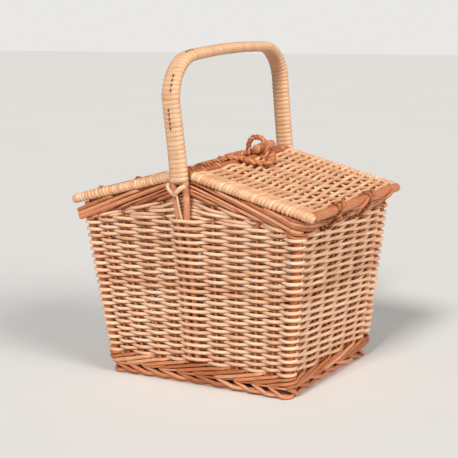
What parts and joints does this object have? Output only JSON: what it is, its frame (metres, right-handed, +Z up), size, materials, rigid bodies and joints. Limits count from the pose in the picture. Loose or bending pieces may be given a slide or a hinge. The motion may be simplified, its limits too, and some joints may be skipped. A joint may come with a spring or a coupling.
{
  "type": "pie basket",
  "caption": "Rectangular willow pie basket with flared woven walls, a gabled pair of hinged lids, a peg-and-loop closure and a cane-bound bow handle.",
  "frame": {"origin": "middle of the face the basket stands on", "axes": "+X along the length towards the right-hand lid, -Y out of the front wall, +Z up to the handle"},
  "size_m": [0.38, 0.292, 0.44],
  "materials": {
    "buff_willow": "buff willow rods, peeled and boiled, satin",
    "brown_willow": "thicker red-brown willow rods, satin",
    "split_cane": "pale split cane wound tightly, satin"
  },
  "bodies": {
    "basket": {"foot_border": "brown_willow", "base_wale": "brown_willow", "floor_weave": "buff_willow", "front_stake_1": "brown_willow", "front_stake_2": "brown_willow", "front_stake_3": "brown_willow", "front_stake_4": "brown_willow", "front_stake_5": "brown_willow", "front_stake_6": "brown_willow", "front_stake_7": "brown_willow", "front_stake_8": "brown_willow", "back_stake_1": "brown_willow", "back_stake_2": "brown_willow", "back_stake_3": "brown_willow", "back_stake_4": "brown_willow", "back_stake_5": "brown_willow", "back_stake_6": "brown_willow", "back_stake_7": "brown_willow", "back_stake_8": "brown_willow", "left_stake_1": "brown_willow", "left_stake_2": "brown_willow", "left_stake_3": "brown_willow", "left_stake_4": "brown_willow", "left_stake_5": "brown_willow", "left_stake_6": "brown_willow", "right_stake_1": "brown_willow", "right_stake_2": "brown_willow", "right_stake_3": "brown_willow", "right_stake_4": "brown_willow", "right_stake_5": "brown_willow", "right_stake_6": "brown_willow", "front_left_corner_post": "brown_willow", "front_right_corner_post": "brown_willow", "back_left_corner_post": "brown_willow", "back_right_corner_post": "brown_willow", "front_wall_weave": "buff_willow", "back_wall_weave": "buff_willow", "left_wall_weave": "buff_willow", "right_wall_weave": "buff_willow", "top_border": "brown_willow", "left_front_hinge_loop": "brown_willow", "left_back_hinge_loop": "brown_willow", "right_front_hinge_loop": "brown_willow", "right_back_hinge_loop": "brown_willow", "handle_left_bow_rod": "brown_willow", "handle_right_bow_rod": "brown_willow", "handle_cane_binding": "split_cane"},
    "left_lid": {"left_lid_hinge_stick": "brown_willow", "left_lid_frame": "brown_willow", "left_lid_weave": "buff_willow"},
    "right_lid": {"right_lid_hinge_stick": "brown_willow", "right_lid_frame": "brown_willow", "right_lid_weave": "buff_willow", "closure_hoop": "brown_willow"},
    "peg": {"closure_peg": "brown_willow"},
    "noose": {"closure_noose": "brown_willow"}
  },
  "joints": [
    {"name": "left_lid_hinge", "type": "hinge", "parent": "basket", "child": "left_lid", "pos_m": [-0.18, 0, 0.2395], "axis": [0, -1, 0], "range_deg": [0, 180]},
    {"name": "right_lid_hinge", "type": "hinge", "parent": "basket", "child": "right_lid", "pos_m": [0.18, 0, 0.2395], "axis": [0, 1, 0], "range_deg": [0, 180]},
    {"name": "peg_slide", "type": "slide", "parent": "right_lid", "child": "peg", "axis": [0, 1, 0], "range_m": [0, 0.05]},
    {"name": "noose_lift", "type": "hinge", "parent": "left_lid", "child": "noose", "pos_m": [-0.0085, 0, 0.282], "axis": [0, -1, 0], "range_deg": [0, 170], "deforming": ["closure_noose"]}
  ]
}
